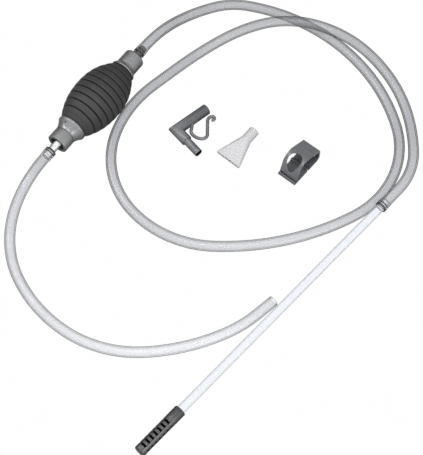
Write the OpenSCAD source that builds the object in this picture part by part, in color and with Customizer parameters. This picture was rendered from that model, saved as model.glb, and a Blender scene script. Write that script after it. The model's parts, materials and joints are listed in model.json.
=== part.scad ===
/* [Squeeze bulb] */
// Largest diameter of the rubber bulb
bulb_d = 62; // [60:0.5:63]
// Thickness of the rubber
bulb_wall = 3.2; // [2.5:0.1:4]
// Number of grooves on each side of the middle groove
side_grooves = 4; // [1:1:4]
// Distance between two grooves
groove_pitch = 9.1; // [8:0.1:9.2]
// Depth of a groove
groove_depth = 1; // [0.5:0.1:1.5]

/* [Caps] */
// Diameter of the outlet cap's collar
outlet_cap_d = 26; // [26:0.5:28]
// Diameter of the inlet cap's collar
inlet_cap_d = 26; // [25:0.2:26.4]
// Diameter of the outlet cap's lip, where it meets the rubber
outlet_lip_d = 37; // [36:0.5:38]
// Diameter of the inlet cap's lip, where it meets the rubber
inlet_lip_d = 31.6; // [31:0.2:33]

/* [Valves] */
// Diameter of the valve chamber in each cap
chamber_d = 18.5; // [18.5:0.1:18.6]
// Diameter of the floating disc
disc_d = 13.2; // [12:0.1:14]
// How far the disc lifts off its seat
disc_lift = 2; // [1:0.1:2]

/* [Hose] */
// Outer diameter of the hose
hose_od = 12.7; // [12.5:0.1:12.8]
// Inner diameter of the hose
hose_id = 9.5; // [9:0.1:9.6]
// Length of hose that is stretched over a barb or over the tube
socket_l = 12; // [11:0.5:13]

/* [Rigid tube and strainer] */
// Outer diameter of the rigid tube
tube_od = 10.5; // [10:0.1:10.5]
// Wall of the rigid tube
tube_wall = 1; // [0.8:0.1:1.5]
// Length of tube that shows between the hose and the strainer
tube_visible = 336.5; // [300:0.5:345]
// Length of the strainer
strainer_l = 63.8; // [60:0.2:66]
// Slots in one row of the strainer
slots_per_row = 7; // [3:1:7]
// Width of one slot
slot_w = 2.8; // [1:0.1:3]

/* [Hanger elbow] */
// Outer diameter of the elbow
elbow_od = 13.5; // [13:0.1:14]
// Length from the corner to the open end
elbow_l = 46.8; // [45:0.2:50]
// Length from the corner to the shoulder
elbow_shoulder = 20; // [16:0.5:22]
// Length of the hose stub beyond the shoulder
stub_l = 22; // [15:0.5:24]
// Diameter of the hose stub
stub_d = 10; // [9.5:0.1:10.5]
// Thickness of the hook rod
hook_d = 4; // [3:0.1:4.5]

/* [Flat nozzle] */
// Length of the nozzle
nozzle_l = 49.5; // [45:0.5:55]
// Outer diameter of the neck
neck_od = 12.8; // [12.6:0.1:13.4]
// Width of the mouth
mouth_w = 34.4; // [28:0.2:36]
// Height of the mouth
mouth_h = 5.4; // [4:0.1:6]

/* [Flow clamp] */
// Width of the moulded strip
clamp_w = 24.5; // [20:0.5:26]
// Thickness of the moulded strip
strip_t = 2; // [1.6:0.1:2.2]

/* [Hidden] */
$fn = 64;
gap = 0.05;

// Bulb: its middle is at zero along its axis, and the suction end is positive
outlet_half = 49.3;
inlet_half = 47.2;
outlet_end_r = 16.9;
inlet_end_r = 14.9;
bulge_power = 2.3;
groove_w = 1.4;
bead_l = 2;

// Rubber necks inside the caps
outlet_neck_r = 10.5;
outlet_neck_end = -60;
outlet_bore_r = 7.8;
inlet_neck_r = 9.9;
inlet_neck_end = 59.9;
inlet_bore_r = 7.4;
bead_h = 0.7;

// Caps
outlet_cap_end = -78;
recess_depth = 4;
recess_r = 9;
inlet_cap_end = 74.8;
chamber_r = chamber_d / 2;
edge = 1.4;

// Valves: each valve's zero is its seat's sealing lip
seat_h = 2.5;
lip_h = 0.4;
disc_t = 1.6;
rest_gap = 0.02;
cage_wall = 1.8;
cage_floor = 1.7;
cage_depth = disc_t + rest_gap + disc_lift + gap + cage_floor;
valve_r = chamber_r - gap;
outlet_valve_z = -62.8;
inlet_valve_z = inlet_neck_end + 0.15 + cage_depth;

// Barbs: each barb's zero is the inner face of its flange
flange_h = 2.55;
flange_r = valve_r;
stem_r = hose_id / 2;
stem_bore_r = 3.2;
ridge_r = tube_od / 2;
ridge_pitch = 3;
seal_r = 6.7;
seal_t = 0.77;
outlet_flange_z = outlet_valve_z - cage_depth - gap;
inlet_flange_z = inlet_valve_z + seat_h + gap;
outlet_hose_z = -89.2;
inlet_hose_z = 80;
barb_in_hose = 10.4;

// Hose: a stretched end keeps the hose's amount of rubber
hose_ro = hose_od / 2;
hose_ri = hose_id / 2;
socket_ri = tube_od / 2 + gap;
socket_ro = sqrt(hose_ro * hose_ro - hose_ri * hose_ri + socket_ri * socket_ri);
socket_cone = 1.5;
hose_sides = 16;
rod_sides = 14;
max_bend = 9;
max_run = 45;
overlap = 1;
drain_straight = 22;
suction_straight = 20;

// Where things lie on the table
bulb_at = [-138.2, 136.6, bulb_d / 2];
bulb_heading = 54.4;
elbow_at = [-45.2, 107.9, elbow_od / 2];
elbow_heading = 39.5;
nozzle_at = [15.9, 68.8, mouth_h / 2];
nozzle_heading = 49.5;
nozzle_tilt = 6.2;
clamp_at = [84.4, 42.9, 0];
clamp_heading = 50.5;

// The lay of each hose, as [length, turn to the left, slope at its end]
suction_lay = [
  [57, -10, -16.2], [60.5, -20.3, -9], [43.5, -36.2, 0],
  [143.5, -36.6, 0], [121, -30.1, 0], [72, -36.3, 0], [71.5, -35.4, 0],
  [52.5, -9.7, 0], [115.5, -21.9, 0], [106, -46.4, 0], [119.5, -59.8, 0], [77, -29.5, 0],
  [45, -1, 0], [56.5, -14.8, 13.9], [55, -8.1, 0],
  [69.5, -36.3, 0], [76.5, -30.1, -2.5], [96, -30.1, -1.2], [53.5, -14.1, -0.8], [57.5, -40.4, -0.8]
];
drain_lay = [
  [53.5, 10.4, -18.3], [57, 29.3, -8], [45, 21.4, 0],
  [89, 29.7, 0], [94, 38.2, 0], [91.5, 21.7, 0], [43.5, 16.4, 0], [2.5, 0, 0]
];

// The hook rod in the elbow's plane, as [length, turn to the left, slope at its end]
hook_start = [21.5, -3.8, 0];
hook_heading = -134;
hook_lay = [
  [11.5, -7, 0], [4.5, 42, 0], [15, 58, 0], [10, 92, 0], [19, -2, 0], [8.5, -78, 0], [8, -175, 0]
];

// ---- paths: a station is [position, heading, slope] ----

function direction(turn, slope) = [cos(slope) * cos(turn), cos(slope) * sin(turn), sin(slope)];
function unit(v) = v / norm(v);

function next_station(s, step) =
  let (t0 = direction(s[1], s[2]),
       t1 = direction(s[1] + step[1], step[2]),
       half = acos(min(1, t0 * t1)) / 2,
       chord = half < 0.01 ? step[0] : step[0] * sin(half) / (half * PI / 180))
  [s[0] + chord * unit(t0 + t1), s[1] + step[1], step[2]];

function stations(s, steps, i = 0) =
  i == len(steps) ? [s] : concat([s], stations(next_station(s, steps[i]), steps, i + 1));

// Split each bend into short steps of the same curvature
function short_steps(steps) = [
  for (i = [0:len(steps) - 1])
    let (slope = i == 0 ? 0 : steps[i - 1][2],
         rise = steps[i][2] - slope,
         n = ceil(max(norm([steps[i][1], rise]) / max_bend, steps[i][0] / max_run)))
    for (k = [1:n]) [steps[i][0] / n, steps[i][1] / n, slope + rise * k / n]
];

function last(list) = list[len(list) - 1];
function ahead(s, distance) = [s[0] + distance * direction(s[1], s[2]), s[1], s[2]];

function rim(s, r, sides) =
  let (side = [-sin(s[1]), cos(s[1]), 0],
       up = cross(direction(s[1], s[2]), side))
  [for (k = [0:sides - 1]) s[0] + r * (cos(360 * k / sides) * side + sin(360 * k / sides) * up)];

module on_station(s) {
  translate(s[0])
    rotate([0, 0, s[1]])
      rotate([0, 90 - s[2], 0])
        children();
}

// Skin of a hose along its stations, inside the wall of the round ends
module hose_sweep(path, ro, ri, sides) {
  n = len(path);
  flat_ri = ri / cos(180 / sides) + 0.01;
  points = [for (s = path) each concat(rim(s, ro - 0.01, sides), rim(s, flat_ri, sides))];
  function id(i, inner, k) = (2 * i + inner) * sides + k % sides;
  faces = [
    for (i = [0:n - 2], k = [0:sides - 1]) each [
      [id(i + 1, 0, k + 1), id(i, 0, k + 1), id(i, 0, k)],
      [id(i + 1, 0, k), id(i + 1, 0, k + 1), id(i, 0, k)],
      [id(i, 1, k + 1), id(i + 1, 1, k + 1), id(i, 1, k)],
      [id(i + 1, 1, k + 1), id(i + 1, 1, k), id(i, 1, k)]
    ],
    for (k = [0:sides - 1]) each [
      [id(0, 0, k + 1), id(0, 1, k + 1), id(0, 1, k), id(0, 0, k)],
      [id(n - 1, 1, k), id(n - 1, 1, k + 1), id(n - 1, 0, k + 1), id(n - 1, 0, k)]
    ]
  ];
  polyhedron(points, faces);
}

module rod_sweep(path, r, sides) {
  n = len(path);
  points = [for (s = path) each rim(s, r, sides)];
  function id(i, k) = i * sides + k % sides;
  faces = [
    for (i = [0:n - 2], k = [0:sides - 1]) each [
      [id(i + 1, k + 1), id(i, k + 1), id(i, k)],
      [id(i + 1, k), id(i + 1, k + 1), id(i, k)]
    ],
    [for (k = [0:sides - 1]) id(0, k)],
    [for (k = [sides - 1:-1:0]) id(n - 1, k)]
  ];
  polyhedron(points, faces);
}

bulb_start = [bulb_at, bulb_heading, 0];
suction_start = ahead(bulb_start, inlet_hose_z);
suction_path = stations(ahead(suction_start, socket_l), short_steps(suction_lay));
tube_exit = ahead(last(suction_path), suction_straight + socket_l);
drain_start = ahead([bulb_at, bulb_heading + 180, 0], -outlet_hose_z);
drain_path = stations(ahead(drain_start, socket_l), short_steps(drain_lay));
drain_end = ahead(last(drain_path), drain_straight);

// ---- shared shapes ----

module pipe(ro, ri, length) {
  difference() {
    cylinder(r = ro, h = length);
    translate([0, 0, -1]) cylinder(r = ri, h = length + 2);
  }
}

// Stretched end of a hose: its mouth is at zero and the hose goes on upwards
module hose_socket(extra) {
  rotate_extrude()
    polygon([
      [socket_ri, 0], [socket_ro - 0.3, 0], [socket_ro, 0.3],
      [socket_ro, socket_l - socket_cone], [hose_ro, socket_l], [hose_ro, socket_l + extra],
      [hose_ri, socket_l + extra], [hose_ri, socket_l], [socket_ri, socket_l - socket_cone]
    ]);
}

module valve_seat() {
  rotate_extrude()
    polygon([
      [4.5, 0], [5.7, 0], [6, lip_h], [valve_r, lip_h], [valve_r, seat_h - 0.3],
      [valve_r - 0.3, seat_h], [5.4, seat_h], [4.5, seat_h - 0.9]
    ]);
}

module valve_disc() {
  translate([0, 0, -rest_gap - disc_t])
    rotate_extrude()
      polygon([
        [0, 0], [disc_d / 2 - 0.3, 0], [disc_d / 2, 0.3],
        [disc_d / 2, disc_t - 0.3], [disc_d / 2 - 0.3, disc_t], [0, disc_t]
      ]);
}

module valve_cage() {
  translate([0, 0, -cage_depth]) {
    pipe(valve_r, valve_r - cage_wall, cage_depth + lip_h - gap);
    cylinder(r = 2.4, h = cage_floor);
    for (turn = [0:90:270])
      rotate([0, 0, turn])
        translate([1.5, -1.1, 0])
          cube([valve_r - cage_wall - 1, 2.2, cage_floor]);
  }
}

// Barb with its flange at zero: the stem goes up, and its ridges hold the hose
module barb(stem_end) {
  rotate_extrude()
    polygon(concat(
      [[stem_bore_r, 1.5], [5.4, 0], [flange_r, 0], [flange_r, flange_h],
       [seal_r + 0.8, flange_h], [seal_r + 0.8, 1], [seal_r - 0.8, 1], [seal_r - 0.8, flange_h],
       [stem_r, flange_h]],
      [for (i = [2:-1:0]) each [
        [stem_r, stem_end - ridge_pitch * i - 2.6],
        [ridge_r, stem_end - ridge_pitch * i - 2.5],
        [stem_r, stem_end - ridge_pitch * i - 0.3]
      ]],
      [[stem_r - 0.3, stem_end], [stem_bore_r, stem_end]]
    ));
}

module barb_seal() {
  translate([0, 0, 1 + 0.8])
    rotate_extrude()
      translate([seal_r, 0])
        circle(seal_t, $fn = 32);
}

module on_bulb_axis(z) {
  on_station(bulb_start) translate([0, 0, z]) children();
}

// ---- bulb ----

function bulb_r(z) = z < 0
  ? bulb_d / 2 - (bulb_d / 2 - outlet_end_r) * pow(-z / outlet_half, bulge_power)
  : bulb_d / 2 - (bulb_d / 2 - inlet_end_r) * pow(z / inlet_half, bulge_power);

function groove(z) = [
  [bulb_r(z - groove_w / 2), z - groove_w / 2],
  [bulb_r(z) - groove_depth, z - groove_w / 4],
  [bulb_r(z) - groove_depth, z + groove_w / 4],
  [bulb_r(z + groove_w / 2), z + groove_w / 2],
  [bulb_r(z + groove_pitch / 2), z + groove_pitch / 2]
];

module squeeze_bulb() {
  outside = concat(
    [[outlet_neck_r, -outlet_half], [outlet_end_r, -outlet_half], [bulb_r(-45), -45]],
    [for (i = [-side_grooves:side_grooves]) each groove(i * groove_pitch)],
    [[bulb_r(44), 44], [inlet_end_r, inlet_half], [inlet_neck_r, inlet_half]]);
  inlet_neck = [
    [inlet_neck_r, inlet_neck_end - bead_l], [inlet_neck_r + bead_h, inlet_neck_end - bead_l],
    [inlet_neck_r + bead_h, inlet_neck_end], [inlet_bore_r, inlet_neck_end],
    [inlet_bore_r, inlet_half - 1]
  ];
  inside = [for (z = [43:-4.35:-44]) [bulb_r(z) - bulb_wall, z]];
  outlet_neck = [
    [outlet_bore_r, 1 - outlet_half],
    [outlet_bore_r, outlet_neck_end], [outlet_neck_r + bead_h, outlet_neck_end],
    [outlet_neck_r + bead_h, outlet_neck_end + bead_l], [outlet_neck_r, outlet_neck_end + bead_l]
  ];
  color("#3a3a3c")
    on_bulb_axis(0)
      rotate_extrude($fn = 96)
        polygon(concat(outside, inlet_neck, inside, outlet_neck));
}

// ---- inlet end ----

module inlet_cap() {
  r = inlet_cap_d / 2;
  face = inlet_half + gap;
  color("#8b8d90")
    on_bulb_axis(0)
      rotate_extrude()
        polygon([
          [inlet_neck_r + gap, face], [inlet_lip_d / 2 - 0.4, face], [inlet_lip_d / 2, face + 0.4],
          [inlet_lip_d / 2, face + 1.6], [r + 1.6, face + 4], [r + 0.5, face + 6],
          [r - 0.6, face + 6.3], [r - 0.6, face + 7.7], [r, face + 8], [r, inlet_cap_end - 3.3],
          [r - 0.6, inlet_cap_end - 2.4], [9.4, inlet_cap_end], [stem_r + gap, inlet_cap_end],
          [stem_r + gap, inlet_flange_z + flange_h + gap], [chamber_r, inlet_flange_z + flange_h + gap],
          [chamber_r, inlet_neck_end + gap], [inlet_neck_r + bead_h + gap, inlet_neck_end + gap],
          [inlet_neck_r + bead_h + gap, inlet_neck_end - bead_l - gap],
          [inlet_neck_r + gap, inlet_neck_end - bead_l - gap]
        ]);
}

module inlet_barb() {
  color("#77797c")
    on_bulb_axis(inlet_flange_z) barb(inlet_hose_z + barb_in_hose - inlet_flange_z);
}

module inlet_seal() {
  color("#222222") on_bulb_axis(inlet_flange_z) barb_seal();
}

module inlet_valve_seat() {
  color("#d8d8d4") on_bulb_axis(inlet_valve_z) valve_seat();
}

module inlet_valve_disc() {
  color("#b5482f") on_bulb_axis(inlet_valve_z) valve_disc();
}

module inlet_valve_cage() {
  color("#d8d8d4") on_bulb_axis(inlet_valve_z) valve_cage();
}

// ---- outlet end ----

module outlet_cap() {
  r = outlet_cap_d / 2;
  lip = outlet_lip_d / 2;
  face = -outlet_half - gap;
  flare_l = 11.5;
  web = outlet_flange_z - flange_h - gap;
  flare = [for (t = [0:0.125:1]) [r + (lip - r) * pow(1 - t, 1.5), face - 2.2 - flare_l * t]];
  color("#8b8d90")
    on_bulb_axis(0)
      difference() {
        union() {
          rotate_extrude()
            polygon(concat(
              [[outlet_neck_r + gap, face], [lip - 0.4, face], [lip, face - 0.4]],
              flare,
              [[r, outlet_cap_end + edge], [r - 0.4, outlet_cap_end + 0.4],
               [r - edge, outlet_cap_end], [recess_r + 0.4, outlet_cap_end],
               [recess_r, outlet_cap_end + 0.4], [recess_r, outlet_cap_end + recess_depth],
               [stem_r + gap, outlet_cap_end + recess_depth], [stem_r + gap, web],
               [chamber_r, web], [chamber_r, outlet_neck_end - gap],
               [outlet_neck_r + bead_h + gap, outlet_neck_end - gap],
               [outlet_neck_r + bead_h + gap, outlet_neck_end + bead_l + gap],
               [outlet_neck_r + gap, outlet_neck_end + bead_l + gap]]
            ));
          at_boss() cylinder(r1 = 2.4, r2 = 2, h = 3.7);
        }
        at_boss() translate([0, 0, 1.7]) cylinder(r = 0.9, h = 5, $fn = 24);
      }
}

// The small blind hole on the flare of the outlet cap, near the top
module at_boss() {
  rotate([0, 0, 180 - 14])
    translate([outlet_cap_d / 2 - 1, 0, -56.7])
      rotate([0, 66, 0])
        children();
}

module outlet_barb() {
  color("#77797c")
    on_bulb_axis(outlet_flange_z)
      rotate([180, 0, 0])
        barb(outlet_flange_z - outlet_hose_z + barb_in_hose);
}

module outlet_seal() {
  color("#222222") on_bulb_axis(outlet_flange_z) rotate([180, 0, 0]) barb_seal();
}

module outlet_valve_seat() {
  color("#d8d8d4") on_bulb_axis(outlet_valve_z) valve_seat();
}

module outlet_valve_disc() {
  color("#b5482f") on_bulb_axis(outlet_valve_z) valve_disc();
}

module outlet_valve_cage() {
  color("#d8d8d4") on_bulb_axis(outlet_valve_z) valve_cage();
}

// ---- hoses ----

module suction_hose() {
  color("#c4c6c8", 0.7) {
    on_station(suction_start) hose_socket(overlap);
    hose_sweep(suction_path, hose_ro, hose_ri, hose_sides);
    on_station(tube_exit) rotate([180, 0, 0]) hose_socket(suction_straight + overlap);
  }
}

module drain_hose() {
  color("#c4c6c8", 0.7) {
    on_station(drain_start) hose_socket(overlap);
    hose_sweep(drain_path, hose_ro, hose_ri, hose_sides);
    on_station(drain_end)
      translate([0, 0, -drain_straight - overlap])
        pipe(hose_ro, hose_ri, drain_straight + overlap);
  }
}

// ---- rigid tube and strainer ----

module rigid_tube() {
  color("#e6e8ea", 0.8)
    on_station(tube_exit)
      translate([0, 0, -barb_in_hose])
        pipe(tube_od / 2, tube_od / 2 - tube_wall, barb_in_hose + tube_visible + 14);
}

module strainer_tip() {
  collar_r = 7.05;
  cage_r = 6.95;
  cage_bore_r = 5.9;
  stop_r = 4.6;
  socket = 14.2;
  stop_end = 15.8;
  first_slot = 7.5;
  slot_pitch = 5.95;
  slot_span = 6.6;
  color("#55585c")
    on_station(ahead(tube_exit, tube_visible))
      difference() {
        rotate_extrude()
          polygon([
            [tube_od / 2 + gap, 0], [collar_r - 0.5, 0], [collar_r, 0.5], [collar_r, 15],
            [cage_r, 15.4], [cage_r, strainer_l - 1], [cage_r - 0.8, strainer_l], [0, strainer_l],
            [0, strainer_l - 2.2], [cage_bore_r, strainer_l - 2.2], [cage_bore_r, stop_end],
            [stop_r, stop_end], [stop_r, socket], [tube_od / 2 + gap, socket]
          ]);
        for (i = [0:slots_per_row - 1], turn = [0, 90])
          translate([0, 0, strainer_l - first_slot - slot_pitch * i])
            rotate([0, 0, turn])
              cube([20, slot_span, slot_w], center = true);
      }
}

// ---- hanger elbow ----

// One leg of the elbow, cut at 45 degrees where it meets the other leg
module mitred_leg(turn, length, mitre_turn) {
  intersection() {
    rotate([0, 90, turn])
      translate([0, 0, -elbow_od])
        cylinder(r = elbow_od / 2, h = length + elbow_od);
    rotate([0, 0, mitre_turn])
      translate([0, -60, -60])
        cube(120);
  }
}

module hanger_elbow() {
  bore_r = tube_od / 2 + gap;
  socket_depth = 24;
  duct_r = 3.4;
  color("#5f6266")
    translate(elbow_at)
      rotate([0, 0, elbow_heading])
        difference() {
          union() {
            mitred_leg(0, elbow_l, 45);
            mitred_leg(-90, elbow_shoulder, 225);
            rotate([0, 90, -90]) cylinder(r = stub_d / 2, h = elbow_shoulder + stub_l);
            rod_sweep(stations([hook_start, hook_heading, 0], short_steps(hook_lay)),
              hook_d / 2, rod_sides);
          }
          rotate([0, 90, 0]) {
            cylinder(r = duct_r, h = elbow_l);
            translate([0, 0, elbow_l - socket_depth]) cylinder(r = bore_r, h = socket_depth + 1);
          }
          rotate([0, 90, -90]) cylinder(r = duct_r, h = elbow_shoulder + stub_l + 1);
          sphere(r = duct_r);
        }
}

// ---- flat nozzle ----

module mouth_ends(w, h) {
  for (side = [-1, 1])
    translate([0, side * (w - h) / 2, 0])
      cylinder(r = h / 2, h = 0.5, $fn = 32);
}

module flat_nozzle() {
  bore_r = tube_od / 2 + gap;
  neck_l = 15;
  neck_z = nozzle_l - neck_l;
  wall = 1.2;
  color("#e2e4ea", 0.9)
    translate(nozzle_at)
      rotate([0, 90 - nozzle_tilt, nozzle_heading])
        difference() {
          union() {
            translate([0, 0, neck_z]) cylinder(r = neck_od / 2, h = neck_l);
            hull() {
              mouth_ends(mouth_w, mouth_h);
              translate([0, 0, neck_z]) cylinder(r = neck_od / 2, h = 0.5, $fn = 32);
            }
          }
          translate([0, 0, neck_z + 1]) cylinder(r = bore_r, h = neck_l);
          hull() {
            translate([0, 0, -0.4]) mouth_ends(mouth_w - 2 * wall, mouth_h - 2 * wall);
            translate([0, 0, neck_z + 0.8]) cylinder(r = bore_r - 0.6, h = 0.5, $fn = 32);
          }
        }
}

// ---- flow clamp ----

function arc(centre, r, from, to, n) =
  [for (i = [0:n]) let (a = from + (to - from) * i / n) centre + r * [cos(a), sin(a)]];

base_t = 2.2;
wall_x = 48.2;
wall_top = 15.5;
fold_r = 6.5;
hump_at = [20.5, 16];
hump_r = 13.4;
hump_end = 64;
hump_start = 162.4;
hinge_at = [47, 16.9];
knuckle_r = 1.1;

module on_clamp() {
  translate(clamp_at) rotate([0, 0, clamp_heading]) children();
}

module strip(outline) {
  rotate([90, 0, 0])
    linear_extrude(clamp_w, center = true)
      polygon(outline);
}

// Strip bent up at one end, with a toothed catch at the other and a pinching ridge between
module clamp_base() {
  fold_at = [wall_x - fold_r, fold_r];
  catch_t = 1.8;
  catch_top = 5;
  tooth = 0.5;
  ridge_x = 25.5;
  outline = concat(
    [[0, catch_top], [0, 1], [1, 0], [ridge_x - 1.6, 0], [ridge_x, 3.4], [ridge_x + 1.6, 0]],
    arc(fold_at, fold_r, -90, 0, 12),
    [[wall_x, wall_top], [wall_x - base_t, wall_top]],
    arc(fold_at, fold_r - base_t, 0, -90, 12),
    [[ridge_x + 3, base_t], [ridge_x, 6], [ridge_x - 3, base_t], [catch_t, base_t],
     [catch_t, 2.8], [catch_t + tooth, 2.8], [catch_t, 3.6],
     [catch_t, 4.2], [catch_t + tooth, 4.2], [catch_t, catch_top]]);
  color("#5f6266")
    on_clamp()
      difference() {
        strip(outline);
        translate([40, 0, 8.8]) rotate([0, 90, 0]) cylinder(r = 6, h = 20);
      }
}

// Strip arched over the finger hole, with its tip at the catch and its other end at the hinge
module clamp_lever() {
  hole_x = 14.2;
  hole_r = 8.8;
  tip = [3, 3.9];
  rib_h = 1.2;
  rib_pitch = 4.4;
  out = [cos(hump_end), sin(hump_end)];
  along = [sin(hump_end), -cos(hump_end)];
  inner_r = hump_r - strip_t;
  outline = concat(
    [tip],
    arc(hump_at, hump_r, hump_start, hump_end, 24),
    [hinge_at + strip_t / 2 * out, hinge_at - strip_t / 2 * out],
    [for (i = [2:-1:0])
      let (foot = hump_at + inner_r * out + (5 + rib_pitch * i) * along)
        each [foot + 0.8 * along, foot - rib_h * out, foot - 0.8 * along]],
    arc(hump_at, inner_r, hump_end, hump_start, 24),
    [tip + [1.9, -0.3]]);
  color("#5f6266")
    on_clamp()
      difference() {
        union() {
          strip(outline);
          translate([hinge_at[0], 0, hinge_at[1]])
            rotate([90, 0, 0])
              cylinder(r = knuckle_r, h = clamp_w, center = true);
        }
        translate([hole_x, 0, 5]) cylinder(r = hole_r, h = 30);
      }
}

squeeze_bulb();
inlet_cap();
inlet_barb();
inlet_seal();
inlet_valve_seat();
inlet_valve_disc();
inlet_valve_cage();
outlet_cap();
outlet_barb();
outlet_seal();
outlet_valve_seat();
outlet_valve_disc();
outlet_valve_cage();
suction_hose();
drain_hose();
rigid_tube();
strainer_tip();
hanger_elbow();
flat_nozzle();
clamp_base();
clamp_lever();
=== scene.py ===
"""Looks of the gravel vacuum siphon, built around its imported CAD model.

Shapes and their places are in millimetres and become metres in make_object. The stage is in metres.
"""

import json
import math

import bmesh
import bpy
from mathutils import Matrix, Vector


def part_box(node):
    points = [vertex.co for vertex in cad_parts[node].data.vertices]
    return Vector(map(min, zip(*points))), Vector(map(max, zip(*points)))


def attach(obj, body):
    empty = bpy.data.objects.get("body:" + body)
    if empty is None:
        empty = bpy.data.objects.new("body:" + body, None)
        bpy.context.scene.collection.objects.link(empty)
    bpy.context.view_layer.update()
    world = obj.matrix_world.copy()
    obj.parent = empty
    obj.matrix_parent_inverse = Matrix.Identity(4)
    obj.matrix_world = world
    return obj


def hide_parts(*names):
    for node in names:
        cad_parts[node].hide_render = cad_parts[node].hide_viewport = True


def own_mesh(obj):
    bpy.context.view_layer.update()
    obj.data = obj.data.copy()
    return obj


MM = 0.001
# A turned outline keeps this far from its axis
AXIS_R = 0.01

# ---- what the frame says ----

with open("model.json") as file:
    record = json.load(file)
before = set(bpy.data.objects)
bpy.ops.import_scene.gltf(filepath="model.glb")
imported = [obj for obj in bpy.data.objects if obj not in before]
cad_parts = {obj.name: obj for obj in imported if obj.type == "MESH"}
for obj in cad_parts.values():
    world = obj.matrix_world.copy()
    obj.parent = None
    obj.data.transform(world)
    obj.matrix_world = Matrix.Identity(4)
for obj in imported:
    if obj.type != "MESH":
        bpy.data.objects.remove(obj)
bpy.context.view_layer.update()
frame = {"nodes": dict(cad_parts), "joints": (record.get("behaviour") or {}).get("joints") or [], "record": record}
joints = {j["name"]: j for j in frame["joints"]}
mounts = {m["name"]: m for m in frame["record"]["mounts"]}


def heading_of(axis):
    return math.degrees(math.atan2(axis[1], axis[0]))


def mount_origin(name, depth):
    """The point that lies depth behind a mount's own point, along its axis, in millimetres."""
    mount = mounts[name]
    return Vector(mount["pos_m"]) / MM - depth * Vector(mount["axis"])


def box_centre(name):
    low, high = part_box(name)
    return (low + high) / 2 / MM


# The bulb's middle lies on its axis, 64.6 mm behind the middle of the inlet valve's disc.
BULB_AXIS = -Vector(joints["inlet_valve_lift"]["axis"])
BULB_AT = box_centre("inlet_valve_disc") - 64.6 * BULB_AXIS
BULB_HEADING = heading_of(BULB_AXIS)

# ---- driving sizes ----

HOSE_R, HOSE_BORE_R = 6.35, 4.75
# A hose end stretched over a barb or the tube, and the cone that leads back to the hose
SOCKET_R, SOCKET_BORE_R = 6.77, 5.3
SOCKET_L, SOCKET_CONE = 12.0, 1.5
TUBE_R, TUBE_BORE_R = 5.25, 4.25
TUBE_IN_HOSE, TUBE_VISIBLE, TUBE_IN_STRAINER = 10.4, 336.5, 14.0
# Where each hose's mouth lies on the bulb's axis, from the bulb's middle
INLET_HOSE_Z, OUTLET_HOSE_Z = 80.0, -89.2
# The straight stretch at each hose's other end
SUCTION_STRAIGHT, DRAIN_STRAIGHT = 20.0, 22.0

# The lay of each hose, as (length, turn to the left, slope at its end)
SUCTION_LAY = [
    (57, -10, -16.2), (60.5, -20.3, -9), (43.5, -36.2, 0),
    (143.5, -36.6, 0), (121, -30.1, 0), (72, -36.3, 0), (71.5, -35.4, 0),
    (52.5, -9.7, 0), (115.5, -21.9, 0), (106, -46.4, 0), (119.5, -59.8, 0), (77, -29.5, 0),
    (45, -1, 0), (56.5, -14.8, 13.9), (55, -8.1, 0),
    (69.5, -36.3, 0), (76.5, -30.1, -2.5), (96, -30.1, -1.2), (53.5, -14.1, -0.8), (57.5, -40.4, -0.8),
]
DRAIN_LAY = [
    (53.5, 10.4, -18.3), (57, 29.3, -8), (45, 21.4, 0),
    (89, 29.7, 0), (94, 38.2, 0), (91.5, 21.7, 0), (43.5, 16.4, 0), (2.5, 0, 0),
]

# ---- paths: a station is (position, heading, slope) ----


def direction(turn, slope=0.0):
    turn, slope = math.radians(turn), math.radians(slope)
    return Vector((math.cos(slope) * math.cos(turn), math.cos(slope) * math.sin(turn), math.sin(slope)))


def next_station(station, length, turn, slope):
    at, heading, before = station
    start, end = direction(heading, before), direction(heading + turn, slope)
    half = start.angle(end, 0.0) / 2
    chord = length if half < 1e-4 else length * math.sin(half) / half
    return at + chord * (start + end).normalized(), heading + turn, slope


def stations(start, steps, max_bend=3.0, max_run=9.0):
    """The stations along a path, close enough together for a smooth hose."""
    found, slope = [start], start[2]
    for length, turn, end_slope in steps:
        rise = end_slope - slope
        n = math.ceil(max(math.hypot(turn, rise) / max_bend, length / max_run))
        for k in range(1, n + 1):
            found.append(next_station(found[-1], length / n, turn / n, slope + rise * k / n))
        slope = end_slope
    return found


def ahead(station, distance):
    at, heading, slope = station
    return at + distance * direction(heading, slope), heading, slope


def station_matrix(station):
    """Local +Z runs along the path, and local -X is up."""
    at, heading, slope = station
    along = direction(heading, slope)
    left = direction(heading + 90)
    turn = Matrix((left.cross(along), left, along)).transposed()
    return Matrix.Translation(at) @ turn.to_4x4()


def lying(at, heading, tilt=0.0):
    """Local +X runs along the heading and rises by tilt, and local +Z is up."""
    turn = Matrix.Rotation(math.radians(heading), 4, "Z") @ Matrix.Rotation(math.radians(-tilt), 4, "Y")
    return Matrix.Translation(at) @ turn


# ---- mesh building ----


def make_object(name, points, faces, place=Matrix.Identity(4), smooth_angle=35):
    mesh = bpy.data.meshes.new(name)
    mesh.from_pydata([MM * (place @ Vector(p)) for p in points], [], faces)
    mesh.validate()
    mesh.update()
    for polygon in mesh.polygons:
        polygon.use_smooth = True
    mesh.set_sharp_from_angle(angle=math.radians(smooth_angle))
    piece = bpy.data.objects.new(name, mesh)
    bpy.context.scene.collection.objects.link(piece)
    return piece


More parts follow.
